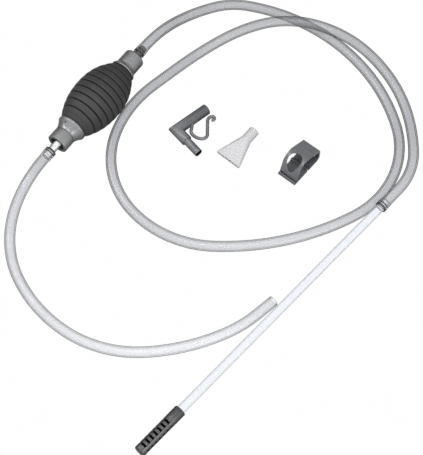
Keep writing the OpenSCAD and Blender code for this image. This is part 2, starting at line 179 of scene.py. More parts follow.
def loft(name, rings, closed, place=Matrix.Identity(4), slots=None, smooth_angle=35):
    """Skin over rings of points. Closed joins the last ring to the first; otherwise both ends get caps.

    Slots gives the material slot of the faces from each ring to the next.
    """
    n = len(rings[0])
    points = [p for ring in rings for p in ring]
    faces, face_slots = [], []
    spans = len(rings) if closed else len(rings) - 1
    for i in range(spans):
        a, b = i * n, (i + 1) % len(rings) * n
        for k in range(n):
            faces.append((a + k, a + (k + 1) % n, b + (k + 1) % n, b + k))
            face_slots.append(slots[i] if slots else 0)
    if not closed:
        faces.append(tuple(reversed(range(n))))
        faces.append(tuple(range(len(points) - n, len(points))))
        face_slots += [0, 0]
    piece = make_object(name, points, faces, place, smooth_angle)
    if slots:
        piece.data.polygons.foreach_set("material_index", face_slots)
    return piece


def soften(outline, radius, steps=3):
    """Rounds every corner of a closed outline with a short curve."""
    made = []
    n = len(outline)
    for i, corner in enumerate(outline):
        here = Vector(corner)
        before, after = Vector(outline[i - 1]) - here, Vector(outline[(i + 1) % n]) - here
        turn = math.pi - before.angle(after, math.pi)
        reach = min(radius, 0.45 * before.length, 0.45 * after.length)
        if turn < math.radians(12) or reach < 1e-3:
            made.append(corner)
            continue
        a, b = here + reach * before.normalized(), here + reach * after.normalized()
        for k in range(steps + 1):
            t = k / steps
            made.append(tuple((1 - t) ** 2 * a + 2 * t * (1 - t) * here + t * t * b))
    return made


def circle(radius, sides):
    """The points of a circle round the origin, as (x, y)."""
    turns = (math.tau * k / sides for k in range(sides))
    return [(radius * math.cos(a), radius * math.sin(a)) for a in turns]


def lathe(name, outline, place, sides=112, radius=0.35, slots=None, smooth_angle=35):
    """Turns a closed outline of (radius, height) about local +Z, with its corners rounded by radius."""
    outline = soften(outline, radius) if radius else outline
    rings = [[(x, y, z) for x, y in circle(max(r, AXIS_R), sides)] for r, z in outline]
    piece = loft(name, rings, True, place, slots, smooth_angle)
    fix_normals(piece)
    return piece


def fix_normals(piece):
    grid = bmesh.new()
    grid.from_mesh(piece.data)
    bmesh.ops.recalc_face_normals(grid, faces=grid.faces)
    grid.to_mesh(piece.data)
    grid.free()


def ring_at(station, radius, sides):
    at, heading, slope = station
    along = direction(heading, slope)
    side = direction(heading + 90)
    up = along.cross(side)
    return [at + x * side + y * up for x, y in circle(radius, sides)]


def bevel(piece, width, segments=3, angle=30):
    made = piece.modifiers.new("edges", "BEVEL")
    made.width = width * MM
    made.segments = segments
    made.limit_method = "ANGLE"
    made.angle_limit = math.radians(angle)
    made.harden_normals = True
    made.use_clamp_overlap = True


def apply_modifiers(piece):
    dg = bpy.context.evaluated_depsgraph_get()
    mesh = bpy.data.meshes.new_from_object(piece.evaluated_get(dg), depsgraph=dg)
    piece.modifiers.clear()
    piece.data = mesh


def cut(piece, tool, operation="DIFFERENCE"):
    """Cuts tool out of piece, or joins them, and removes tool."""
    made = piece.modifiers.new("cut", "BOOLEAN")
    made.object = tool
    made.operation = operation
    made.solver = "EXACT"
    apply_modifiers(piece)
    bpy.data.objects.remove(tool)


def rod(radius, length, place, sides=64):
    rings = [[(x, y, z) for x, y in circle(radius, sides)] for z in (0.0, length)]
    piece = loft("rod", rings, False, place)
    fix_normals(piece)
    return piece


def extrude(name, outline, width, place):
    """An outline in local X and Z, as thick as width along local Y."""
    n = len(outline)
    points = [(x, y, z) for y in (-width / 2, width / 2) for x, z in outline]
    faces = [tuple(range(n)), tuple(reversed(range(n, 2 * n)))]
    faces += [((k + 1) % n, k, n + k, n + (k + 1) % n) for k in range(n)]
    piece = make_object(name, points, faces, place)
    fix_normals(piece)
    return piece


def arc(centre, radius, start, end, n):
    """Points from the start angle to the end angle, in degrees, on a circle in local X and Z."""
    turns = [math.radians(start + (end - start) * i / n) for i in range(n + 1)]
    return [(centre[0] + radius * math.cos(a), centre[1] + radius * math.sin(a)) for a in turns]


# ---- materials ----


class Graph:
    """A material's node tree. A value given to a node is a number, a colour or another node's output."""

    def __init__(self, name, world=None):
        self.material = world or bpy.data.materials.new(name)
        self.material.use_nodes = True
        self.tree = self.material.node_tree
        self.tree.nodes.clear()

    def node(self, kind, values=None, output=0, **settings):
        made = self.tree.nodes.new("ShaderNode" + kind)
        for key, value in settings.items():
            setattr(made, key, value)
        for key, value in (values or {}).items():
            socket = made.inputs[key]
            if isinstance(value, bpy.types.NodeSocket):
                self.tree.links.new(value, socket)
            else:
                socket.default_value = value
        return made.outputs[output] if made.outputs else None

    def maths(self, operation, a, b=0.0, c=0.0):
        return self.node("Math", {0: a, 1: b, 2: c}, operation=operation)

    def noise(self, scale, detail=3.0, roughness=0.5):
        where = self.node("TexCoord", output="Object")
        values = {"Vector": where, "Scale": scale, "Detail": detail, "Roughness": roughness}
        return self.node("TexNoise", values, "Fac")

    def ramp(self, factor, stops):
        made = self.node("ValToRGB", {"Fac": factor})
        elements = made.node.color_ramp.elements
        while len(elements) < len(stops):
            elements.new(0.5)
        for element, (position, colour) in zip(elements, stops):
            element.position = position
            element.color = colour if isinstance(colour, tuple) else (colour, colour, colour, 1)
        return made

    def range(self, factor, low, high):
        return self.node("MapRange", {"Value": factor, "To Min": low, "To Max": high})

    def shade(self, colour, factor):
        """Multiplies a colour by a factor."""
        values = {"Factor": 1.0, 6: colour, 7: factor}
        return self.node("Mix", values, 2, data_type="RGBA", blend_type="MULTIPLY")

    def bump(self, height, strength, distance_mm):
        return self.node("Bump", {"Height": height, "Strength": strength, "Distance": distance_mm * MM})

    def finish(self, surface):
        self.node("OutputMaterial", {"Surface": surface})
        return self.material


def grey(value, tint=(1, 1, 1)):
    return (value * tint[0], value * tint[1], value * tint[2], 1)


def moulded_plastic(
    name, dark, light, rough, grain=0.06, tint=(1, 1, 1), outline_shade=0.0, hollow=0.0, reach=12, shine=0.5
):
    """Injection-moulded plastic: cloudy colour, fine spark texture, and painted shade at the outline and in
    hollows.

    The outline setting is how much painted shade darkens the outline, and hollow how much painted shade darkens a
    hollow up to reach millimetres wide.
    Shine is how much light the surface reflects, 0.5 being that of common plastic.
    """
    g = Graph(name)
    cloud = g.noise(90, 4, 0.6)
    speck = g.noise(2600, 2, 0.5)
    mix = g.maths("MULTIPLY_ADD", speck, 0.35, g.maths("MULTIPLY", cloud, 0.75))
    colour = g.ramp(mix, [(0.3, grey(dark, tint)), (0.75, grey(light, tint))])
    # Painted shade: the outline darkens as the surface turns away from the eye
    if outline_shade:
        facing = g.node("LayerWeight", {"Blend": 0.5}, "Facing")
        colour = g.shade(colour, g.ramp(facing, [(0.15, 1.0), (0.58, 1.0 - outline_shade), (1.0, 1.0 - outline_shade)]))
    # Painted shade: ambient occlusion darkens hollows and recesses
    if hollow:
        sky = g.node("AmbientOcclusion", {"Distance": reach * MM}, "AO", samples=8)
        colour = g.shade(colour, g.ramp(sky, [(0.3, 1 - hollow), (0.9, 1.0)]))
    gloss = g.range(g.noise(240, 3), rough - 0.06, rough + 0.08)
    fine = g.bump(speck, grain, 0.25)
    wave = g.node("Bump", {"Height": cloud, "Strength": 0.05, "Distance": 0.5 * MM, "Normal": fine})
    values = {"Base Color": colour, "Roughness": gloss, "Normal": wave, "Specular IOR Level": shine}
    return g.finish(g.node("BsdfPrincipled", values))


def bulb_rubber():
    """Matt black rubber: chalky specks, faint mottling, and grooves darkened with painted shade."""
    g = Graph("bulb_rubber")
    cloud = g.noise(45, 5, 0.65)
    speck = g.noise(1500, 3, 0.6)
    mix = g.maths("MULTIPLY_ADD", speck, 0.5, g.maths("MULTIPLY", cloud, 0.6))
    colour = g.ramp(mix, [(0.3, grey(0.02)), (0.62, grey(0.032)), (0.85, grey(0.05))])
    # Painted shade: ambient occlusion darkens the grooves
    painted_groove_shade = g.node("AmbientOcclusion", {"Distance": 3.2 * MM}, "AO", samples=8)
    colour = g.shade(colour, g.ramp(painted_groove_shade, [(0.45, 0.12), (0.8, 0.7), (0.95, 1.0)]))
    gloss = g.range(cloud, 0.5, 0.72)
    fine = g.bump(speck, 0.3, 0.3)
    wave = g.node("Bump", {"Height": cloud, "Strength": 0.12, "Distance": 1.2 * MM, "Normal": fine})
    values = {"Base Color": colour, "Roughness": gloss, "Normal": wave, "Specular IOR Level": 0.25}
    return g.finish(g.node("BsdfPrincipled", values))


def clear_plastic(name, centre, edge, solid, rough=0.2, tint=(1, 1, 1), far=None, painted_bore_line=0.0):
    """Clear vinyl or acrylic: see-through where it faces the eye, denser towards its outline, and darker there
    with painted shade.

    Solid is how solid it is at the centre and at the edge. Far is the painted shade at the far side of the table,
    a tone against 1 at the near side. The bore line setting is how dark a painted line is where the bore's outline
    shows through the wall.
    """
    g = Graph(name)
    facing = g.node("LayerWeight", {"Blend": 0.5}, "Facing")
    uneven = g.range(g.noise(40, 3, 0.5), 0.95, 1.05)
    # Painted light and shade: a paler band and a dark line stand in for the bore seen through the wall, and edge
    # darkens the outline
    pale, line = grey(centre * 1.08, tint), grey(centre * (1 - painted_bore_line), tint)
    stops = [(0.2, grey(centre, tint)), (0.27, pale), (0.33, line), (0.38, line), (0.44, pale)]
    colour = g.ramp(facing, stops + [(0.6, grey(edge, tint))])
    # Painted shade: darker towards the far side of the table
    if far is not None:
        place = g.node("SeparateXYZ", {"Vector": g.node("TexCoord", output="Object")}, "Y")
        reach = {"From Min": -0.22, "From Max": 0.1, "To Min": 1.0, "To Max": far}
        colour = g.shade(colour, g.node("MapRange", {"Value": place, **reach}))
    colour = g.shade(colour, uneven)
    thin, thick = solid
    dense = thin * 1.15 + painted_bore_line * 0.6
    stops = [(0.2, thin), (0.27, thin), (0.33, dense), (0.38, dense), (0.44, thin * 1.15)]
    cover = g.maths("MULTIPLY", g.ramp(facing, stops + [(0.62, thick)]), uneven)
    gloss = g.range(g.noise(300, 3), rough * 0.7, rough * 1.4)
    wave = g.bump(g.noise(150, 3), 0.08, 0.6)
    body = g.node("BsdfPrincipled", {"Base Color": colour, "Roughness": gloss, "Normal": wave, "IOR": 1.5})
    window = g.node("BsdfTransparent", {"Color": grey(0.97, tint)})
    return g.finish(g.node("MixShader", {"Fac": cover, 1: window, 2: body}))


CAP_TINT, GREY_TINT = (0.97, 0.98, 1.0), (0.94, 0.98, 1.04)
HOSE_TINT, TUBE_TINT, NOZZLE_TINT = (0.985, 0.99, 1.0), (0.975, 0.985, 1.0), (0.985, 0.985, 1.01)

BULB_RUBBER = bulb_rubber()
# The outline and hollow settings below give these finishes painted shade at outlines and in hollows
CAP_PLASTIC = moulded_plastic("cap_plastic", 0.15, 0.21, 0.26, 0.05, CAP_TINT, outline_shade=0.7, hollow=0.6)
BARB_PLASTIC = moulded_plastic("barb_plastic", 0.06, 0.1, 0.25, 0.05, CAP_TINT, outline_shade=0.85)
# Painted highlight: a pale copy of the barb plastic stands in for the outlet stem's strong highlights
PAINTED_LIT_STEM_PLASTIC = moulded_plastic("barb_plastic_painted_highlight", 0.5, 0.66, 0.2, 0.05, CAP_TINT, outline_shade=0.95)
GREY_PLASTIC = moulded_plastic("grey_plastic", 0.1, 0.15, 0.38, 0.04, GREY_TINT, outline_shade=0.75, hollow=0.98)
CLAMP_PLASTIC = moulded_plastic("clamp_plastic", 0.1, 0.15, 0.34, 0.1, GREY_TINT, hollow=0.985, reach=30)
STRAINER_PLASTIC = moulded_plastic(
    "strainer_plastic", 0.03, 0.046, 0.4, 0.1, (0.95, 0.98, 1.03), outline_shade=0.7, hollow=0.99
)
# Painted shade: a near-black finish for the inside of bores and of the strainer's cage
PAINTED_BORE_SHADE = moulded_plastic("grey_plastic_painted_bore_shade", 0.003, 0.006, 0.6, 0.04, shine=0.03)
VALVE_PLASTIC = moulded_plastic("valve_plastic", 0.55, 0.66, 0.4, 0.04, (1, 1, 0.96))
DISC_RUBBER = moulded_plastic("disc_rubber", 0.3, 0.38, 0.5, 0.15, (1, 0.28, 0.16))
SEAL_RUBBER = moulded_plastic("seal_rubber", 0.015, 0.03, 0.4, 0.15)
# Painted shade: the hose finishes darken towards the far side of the table
HOSE_OUTSIDE = clear_plastic("clear_hose", 0.78, 0.2, (0.27, 0.9), 0.22, HOSE_TINT, far=0.28, painted_bore_line=0.45)
HOSE_BORE = clear_plastic("clear_hose_bore", 0.75, 0.4, (0.14, 0.5), 0.3, HOSE_TINT, far=0.35)
# Painted shade: a near-black mouth ring, and a darker grip with a near-black outline, for the dark rings at each
# stretched hose end
PAINTED_MOUTH_SHADE = clear_plastic("clear_hose_mouth_painted_shade", 0.02, 0.01, (0.95, 0.98), 0.3)
PAINTED_SHADE_HOSE_GRIP = clear_plastic("clear_hose_grip_painted_shade", 0.4, 0.06, (0.08, 0.95), 0.15)
TUBE_OUTSIDE = clear_plastic("clear_tube", 0.9, 0.42, (0.08, 0.6), 0.12, TUBE_TINT)
# Painted shade: a near-black finish for the tube's cut end inside the hose
PAINTED_TUBE_END_SHADE = clear_plastic("clear_tube_cut_painted_shade", 0.02, 0.01, (0.95, 0.98), 0.3)
NOZZLE_PLASTIC = clear_plastic("frosted_plastic", 0.41, 0.31, (1.0, 1.0), 0.4, NOZZLE_TINT)


# ---- finishes ----


def dress(piece, node, finishes, body="pump"):
    """Gives a piece its finishes, one for each material slot, and lets it stand for a CAD node."""
    for finish in finishes:
        piece.data.materials.append(finish)
    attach(piece, body)
    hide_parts(node)


def paint_bore_shade(piece, place, inside):
    """Gives the second finish, near-black painted shade, to the faces that inside picks, by their place in the
    piece's own frame.
    """
    for polygon in piece.data.polygons:
        if inside(place.inverted() @ (polygon.center / MM)):
            polygon.material_index = 1


# ---- bulb, with heights from its middle, inlet end up ----

BULB_R, BULB_WALL, BULGE_POWER = 31.0, 3.2, 2.3
OUTLET_HALF, INLET_HALF = 49.3, 47.2
OUTLET_END_R, INLET_END_R = 16.9, 14.9
OUTLET_NECK_R, OUTLET_NECK_BORE_R, OUTLET_NECK_END = 10.5, 7.8, -60.0
INLET_NECK_R, INLET_NECK_BORE_R, INLET_NECK_END = 9.9, 7.4, 59.9
# Side grooves is how many grooves lie on each side of the middle one
GROOVE_PITCH, GROOVE_DEPTH, GROOVE_HALF, SIDE_GROOVES = 9.1, 1.5, 0.85, 4
FAINT_GROOVE_AT, FAINT_GROOVE_DEPTH, FAINT_GROOVE_HALF = -43.7, 0.35, 0.7
BAND_CROWN = 0.28
SKIN_STEP = 0.28

bulb_station = (BULB_AT, BULB_HEADING, 0.0)
BULB_PLACE = station_matrix(bulb_station)


def bulb_radius(z):
    """The bulb's radius at a height over its middle, without grooves."""
    end_r, half = (OUTLET_END_R, OUTLET_HALF) if z < 0 else (INLET_END_R, INLET_HALF)
    return BULB_R - (BULB_R - end_r) * (abs(z) / half) ** BULGE_POWER


def ribbed_radius(z):
    """The bulb's outside: flat bands with slightly crowned faces, parted by narrow grooves."""
    nearest = max(-SIDE_GROOVES, min(SIDE_GROOVES, round(z / GROOVE_PITCH)))
    away = abs(z - nearest * GROOVE_PITCH)
    groove = GROOVE_DEPTH * math.exp(-((away / GROOVE_HALF) ** 2) * 2.2)
    from_band_middle = min(1.0, abs(away - GROOVE_PITCH / 2) / (GROOVE_PITCH / 2))
    crown = BAND_CROWN * math.cos(math.pi * from_band_middle / 2)
    faint = FAINT_GROOVE_DEPTH * math.exp(-(((z - FAINT_GROOVE_AT) / FAINT_GROOVE_HALF) ** 2))
    return bulb_radius(z) - groove + crown - BAND_CROWN - faint


def build_bulb():
    edge = 0.4
    count = int((OUTLET_HALF + INLET_HALF - 2 * edge) / SKIN_STEP)
    heights = [edge - OUTLET_HALF + SKIN_STEP * i for i in range(count + 1)]
    outline = (
        [(OUTLET_NECK_R, -OUTLET_HALF), (OUTLET_END_R - edge, -OUTLET_HALF)]
        + [(ribbed_radius(z), z) for z in heights]
        + [(INLET_END_R - edge, INLET_HALF), (INLET_NECK_R, INLET_HALF), (INLET_NECK_R, INLET_NECK_END)]
        + [(INLET_NECK_BORE_R, INLET_NECK_END), (INLET_NECK_BORE_R, INLET_HALF - 1)]
        + [(bulb_radius(z) - BULB_WALL, z) for z in range(43, -45, -3)]
        + [(OUTLET_NECK_BORE_R, 1 - OUTLET_HALF), (OUTLET_NECK_BORE_R, OUTLET_NECK_END)]
        + [(OUTLET_NECK_R, OUTLET_NECK_END)]
    )
    bulb = lathe("squeeze_bulb_skin", outline, BULB_PLACE, sides=160, radius=0, smooth_angle=50)
    dress(bulb, "squeeze_bulb", [BULB_RUBBER], "bulb")
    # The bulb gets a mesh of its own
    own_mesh(bulb)


# ---- caps and barbs ----

# Play between two pieces that touch in the real object
GAP = 0.05
STEM_R = HOSE_BORE_R
STEM_BORE_R = 3.2
CHAMBER_R = 9.25
INLET_CAP_END, OUTLET_CAP_END = 74.8, -78.0
INLET_FLANGE, OUTLET_FLANGE = 68.23, -68.17
FLANGE_H = 2.55
BARB_IN_HOSE = 10.4


def build_inlet_cap():
    """Flared lip against the bulb, a groove round the cap, and a shoulder at the hose end."""
    r, lip = 13.0, 15.8
    face = INLET_HALF + GAP
    flange_top = INLET_FLANGE + FLANGE_H + GAP
    steps = [k / 5 for k in range(6)]
    flare = [(r + 0.5 + (lip - r - 0.5) * (1 - t) ** 1.4, face + 1.9 + 4.1 * t) for t in steps]
    outline = (
        [(INLET_NECK_R + GAP, face), (lip, face)]
        + flare
        + [(r + 0.45, face + 6.3), (r - 0.75, face + 6.45), (r - 0.75, face + 7.65), (r, face + 7.8)]
        + [(r, INLET_CAP_END - 3.3), (r - 0.5, INLET_CAP_END - 2.3), (9.4, INLET_CAP_END)]
        + [(STEM_R + GAP, INLET_CAP_END), (STEM_R + GAP, flange_top), (CHAMBER_R, flange_top)]
        + [(CHAMBER_R, INLET_NECK_END + GAP), (INLET_NECK_R + GAP, INLET_NECK_END + GAP)]
    )
    cap = lathe("inlet_cap_shell", outline, BULB_PLACE, radius=0.4)
    dress(cap, "inlet_cap", [CAP_PLASTIC])


def build_outlet_cap():
    """Wide lip against the bulb, a long flare, a thin groove, and a recess round the barb."""
    r, lip, recess_r, recess = 13.0, 18.5, 9.0, 4
    face = -OUTLET_HALF - GAP
    web = OUTLET_FLANGE - FLANGE_H - GAP
    floor = OUTLET_CAP_END + recess
    steps = [k / 10 for k in range(11)]
    outline = (
        [(OUTLET_NECK_R + GAP, face), (lip, face)]
        + [(r + (lip - r) * (1 - t) ** 1.5, face - 2.0 - 11.0 * t) for t in steps]
        + [(r - 0.8, face - 13.2), (r - 0.8, face - 13.8), (r, face - 14.1), (r, OUTLET_CAP_END)]
        + [(recess_r, OUTLET_CAP_END), (recess_r, floor), (STEM_R + GAP, floor), (STEM_R + GAP, web)]
        + [(CHAMBER_R, web), (CHAMBER_R, OUTLET_NECK_END - GAP), (OUTLET_NECK_R + GAP, OUTLET_NECK_END - GAP)]
    )
    cap = lathe("outlet_cap_shell", outline, BULB_PLACE, radius=0.6)
    # A small round dimple on the flare
    dimple = (
        BULB_PLACE
        @ Matrix.Rotation(math.radians(180 - 14), 4, "Z")
        @ Matrix.Translation((r - 1, 0, -56.7))
        @ Matrix.Rotation(math.radians(66), 4, "Y")
        @ Matrix.Translation((0, 0, 1.2))
    )
    cut(cap, rod(1.0, 5, dimple, 32))
    cap.data.set_sharp_from_angle(angle=math.radians(40))
    dress(cap, "outlet_cap", [CAP_PLASTIC])


def barb_outline(length):
    """Flange at zero, stem upwards, with three ridges that hold the hose."""
    ridges = []
    for i in (2, 1, 0):
        z = length - 3 * i
        ridges += [(STEM_R, z - 2.6), (TUBE_R, z - 2.5), (STEM_R, z - 0.3)]
    flange_r = CHAMBER_R - GAP
    return (
        [(STEM_BORE_R, 1.5), (5.4, 0), (flange_r, 0), (flange_r, FLANGE_H), (7.5, FLANGE_H), (7.5, 1)]
        + [(5.9, 1), (5.9, FLANGE_H), (STEM_R, FLANGE_H)]
        + ridges
        + [(STEM_R - 0.3, length), (STEM_BORE_R, length)]
    )


def build_barbs():
    inlet_place = BULB_PLACE @ Matrix.Translation((0, 0, INLET_FLANGE))
    outlet_place = BULB_PLACE @ Matrix.Translation((0, 0, OUTLET_FLANGE)) @ Matrix.Rotation(math.pi, 4, "X")
    inlet_l = INLET_HOSE_Z + BARB_IN_HOSE - INLET_FLANGE
    outlet_l = OUTLET_FLANGE - OUTLET_HOSE_Z + BARB_IN_HOSE
    inlet = lathe("inlet_barb_stem", barb_outline(inlet_l), inlet_place, radius=0.12)
    outlet = lathe("outlet_barb_stem", barb_outline(outlet_l), outlet_place, radius=0.12)
    dress(inlet, "inlet_barb", [BARB_PLASTIC])
    # The outlet stem gets the pale copy of the barb plastic, a painted highlight
    dress(outlet, "outlet_barb", [PAINTED_LIT_STEM_PLASTIC])


# ---- hoses ----

HOSE_SIDES = 48
HOSE_FINISHES = [HOSE_OUTSIDE, HOSE_BORE, PAINTED_SHADE_HOSE_GRIP, PAINTED_MOUTH_SHADE]
OUTSIDE, BORE, GRIP, MOUTH = range(4)
# The mouth's dark edge ends at the first, and a dark ring behind it lies between the other two; both are painted
# shade
MOUTH_BAND, SECOND_BAND = 1.9, (3.6, 4.7)
END_SLOTS = [MOUTH, MOUTH, GRIP, MOUTH] + [GRIP] * 5 + [OUTSIDE] * 3


def hose_end(start, forward=True):
    """Sections of a stretched hose end, from its mouth: (station, outer radius, bore radius)."""
    profile = [(0.0, SOCKET_R, SOCKET_BORE_R), (0.3, SOCKET_R + 0.3, SOCKET_BORE_R)]
    profile += [(d, SOCKET_R + 0.2, SOCKET_BORE_R) for d in (MOUTH_BAND, *SECOND_BAND)]
    straight = SOCKET_L - SOCKET_CONE
    left = straight - SECOND_BAND[1]
    quarters = (0.25, 0.5, 0.75, 1.0)
    profile += [(straight - left * (1 - t), SOCKET_R, SOCKET_BORE_R) for t in quarters]
    for t in quarters:
        eased = t * t * (3 - 2 * t)
        outer = SOCKET_R + (HOSE_R - SOCKET_R) * eased
        bore = SOCKET_BORE_R + (HOSE_BORE_R - SOCKET_BORE_R) * eased
        profile.append((straight + SOCKET_CONE * t, outer, bore))
    sections = [(ahead(start, d if forward else -d), outer, bore) for d, outer, bore in profile]
    return sections if forward else sections[::-1]


def plain(path):
    """Sections of unstretched hose at each station of a path."""
    return [(station, HOSE_R, HOSE_BORE_R) for station in path]


def build_hose(name, node, sections, outside):
    """Skin of a hose. Outside gives the slot of its outside from each section to the next one."""
    outer = [ring_at(station, outer_r, HOSE_SIDES) for station, outer_r, bore_r in sections]
    inner = [ring_at(station, bore_r, HOSE_SIDES) for station, outer_r, bore_r in reversed(sections)]
    first_end, last_end = [MOUTH if slot in (GRIP, MOUTH) else OUTSIDE for slot in (outside[0], outside[-1])]
    slots = outside + [last_end] + [BORE] * len(outside) + [first_end]
    hose = loft(name, outer + inner, True, slots=slots, smooth_angle=50)
    fix_normals(hose)
    dress(hose, node, HOSE_FINISHES)


def build_hoses():
    """Both hoses. Gives back the station where the rigid tube leaves the suction hose."""
    suction_start = ahead(bulb_station, INLET_HOSE_Z)
    suction = stations(ahead(suction_start, SOCKET_L), SUCTION_LAY)
    straight = [ahead(suction[-1], SUCTION_STRAIGHT * k / 3) for k in (1, 2)]
    tube_exit = ahead(suction[-1], SUCTION_STRAIGHT + SOCKET_L)
    sections = hose_end(suction_start) + plain(suction[1:] + straight) + hose_end(tube_exit, False)
    middle = [OUTSIDE] * (len(sections) - 2 * len(END_SLOTS) - 1)
    build_hose("suction_hose_wall", "suction_hose", sections, END_SLOTS + middle + END_SLOTS[::-1])

    drain_start = ahead((BULB_AT, BULB_HEADING + 180, 0.0), -OUTLET_HOSE_Z)
    drain = stations(ahead(drain_start, SOCKET_L), DRAIN_LAY)
    tail = [ahead(drain[-1], DRAIN_STRAIGHT * k / 3) for k in (1, 2)]
    end = [(ahead(drain[-1], DRAIN_STRAIGHT - 0.25), HOSE_R, HOSE_BORE_R)]
    end.append((ahead(drain[-1], DRAIN_STRAIGHT), HOSE_R - 0.25, HOSE_BORE_R + 0.2))
    sections = hose_end(drain_start) + plain(drain[1:] + tail) + end
    middle = [OUTSIDE] * (len(sections) - len(END_SLOTS) - 1)
    build_hose("drain_hose_wall", "drain_hose", sections, END_SLOTS + middle)
    return tube_exit


# ---- rigid tube and strainer ----


def build_rigid_tube(tube_exit):
    low, high = -TUBE_IN_HOSE, TUBE_VISIBLE + TUBE_IN_STRAINER
    chamfer, bevelled_bore = 0.25, TUBE_BORE_R + 0.15
    heights = [low + 0.3 + (high - low - 0.6) * k / 24 for k in range(25)]
    outline = (
        [(TUBE_R - chamfer, low), (TUBE_R, low + 0.3), (TUBE_R, low + 1.1)]
        + [(TUBE_R, z) for z in heights[1:]]
        + [(TUBE_R - chamfer, high), (bevelled_bore, high)]
        + [(TUBE_BORE_R, z) for z in reversed(heights)]
        + [(bevelled_bore, low)]
    )
    # The cut end inside the hose and a narrow ring beside it get a near-black finish: painted shade
    slots = [1, 1] + [0] * (len(outline) - 3) + [1]
    place = station_matrix(tube_exit)
    tube = lathe("rigid_tube_wall", outline, place, sides=64, radius=0, slots=slots)
    dress(tube, "rigid_tube", [TUBE_OUTSIDE, PAINTED_TUBE_END_SHADE], "tube")


def build_strainer(tube_exit):
    """Collar on the tube, a stop for the tube's end, and a closed cage with four rows of slots."""
    collar_r, cage_r, bore_r, stop_r, length = 7.05, 6.95, 5.9, 4.6, 63.8
    first_slot, pitch, slots, slot_w, span = 7.5, 5.95, 7, 2.8, 6.6
    socket_r, stop = TUBE_R + GAP, TUBE_IN_STRAINER + 0.2
    place = station_matrix(ahead(tube_exit, TUBE_VISIBLE))
    outline = (
        [(socket_r, 0), (collar_r, 0), (collar_r, 15), (cage_r, 15.4), (cage_r, length - 0.9)]
        + [(cage_r - 0.8, length), (0, length), (0, length - 2.2), (bore_r, length - 2.2)]
        + [(bore_r, 15.8), (stop_r, 15.8), (stop_r, stop), (socket_r, stop)]
    )
    strainer = lathe("strainer_tip_cage", outline, place, radius=0.5, sides=96)
    slot_outline = soften(rectangle(20, slot_w), 0.5, steps=2)
    for i in range(slots):
        at = place @ Matrix.Translation((0, 0, length - first_slot - pitch * i))
        for turn in (0, 90):
            slot_place = at @ Matrix.Rotation(math.radians(turn), 4, "Z")
            cut(strainer, extrude("slot", slot_outline, span, slot_place))
    strainer.data.set_sharp_from_angle(angle=math.radians(30))
    # Painted shade: the inside of the cage gets the near-black finish
    paint_bore_shade(strainer, place, lambda at: at.xy.length < cage_r - 0.5 and 1 < at.z < length - 1)
    dress(strainer, "strainer_tip", [STRAINER_PLASTIC, PAINTED_BORE_SHADE], "strainer")


def rectangle(width, height):
    x, z = width / 2, height / 2
    return [(-x, -z), (x, -z), (x, z), (-x, z)]


# ---- hanger elbow ----

ELBOW_R, ELBOW_L, ELBOW_SHOULDER, STUB_R, STUB_L = 6.75, 46.8, 20.0, 5.0, 22.0
ELBOW_SOCKET, ELBOW_SOCKET_R, ELBOW_DUCT_R = 24.0, 5.3, 3.4
# The hook's path starts inside the main leg, and its lay is written as a hose's is
HOOK_R = 2.0
HOOK_START, HOOK_HEADING = Vector((20.6, -4.7, 0)), -134
HOOK_LAY = [(10.2, -7, 0), (4.5, 42, 0), (15, 58, 0), (10, 92, 0), (19, -2, 0), (8.5, -78, 0), (8, -175, 0)]


def stub_ring(z, radius, mitre=False, sides=72):
    """A ring round the stub's leg, along local -Y. On the mitre it is stretched to the corner plane."""
    return [(x, -z - (x if mitre else 0.0), up) for x, up in circle(radius, sides)]


def main_ring(z, radius):
    """A ring round the main leg, along local +X: the stub's ring, mirrored in the corner plane."""
    return [(-y, -x, up) for x, y, up in stub_ring(z, radius)]


def in_elbow_bore(at):
    """Whether a place in the elbow's own frame is on the wall of its socket or duct."""
    from_main, from_stub = math.hypot(at.y, at.z), math.hypot(at.x, at.z)
    socket = ELBOW_L - ELBOW_SOCKET - 1 < at.x < ELBOW_L and from_main < 5.4
    mouth = -at.y > ELBOW_SHOULDER and from_stub < 4.5
    return socket or mouth or min(from_main, from_stub) < ELBOW_DUCT_R + 0.2


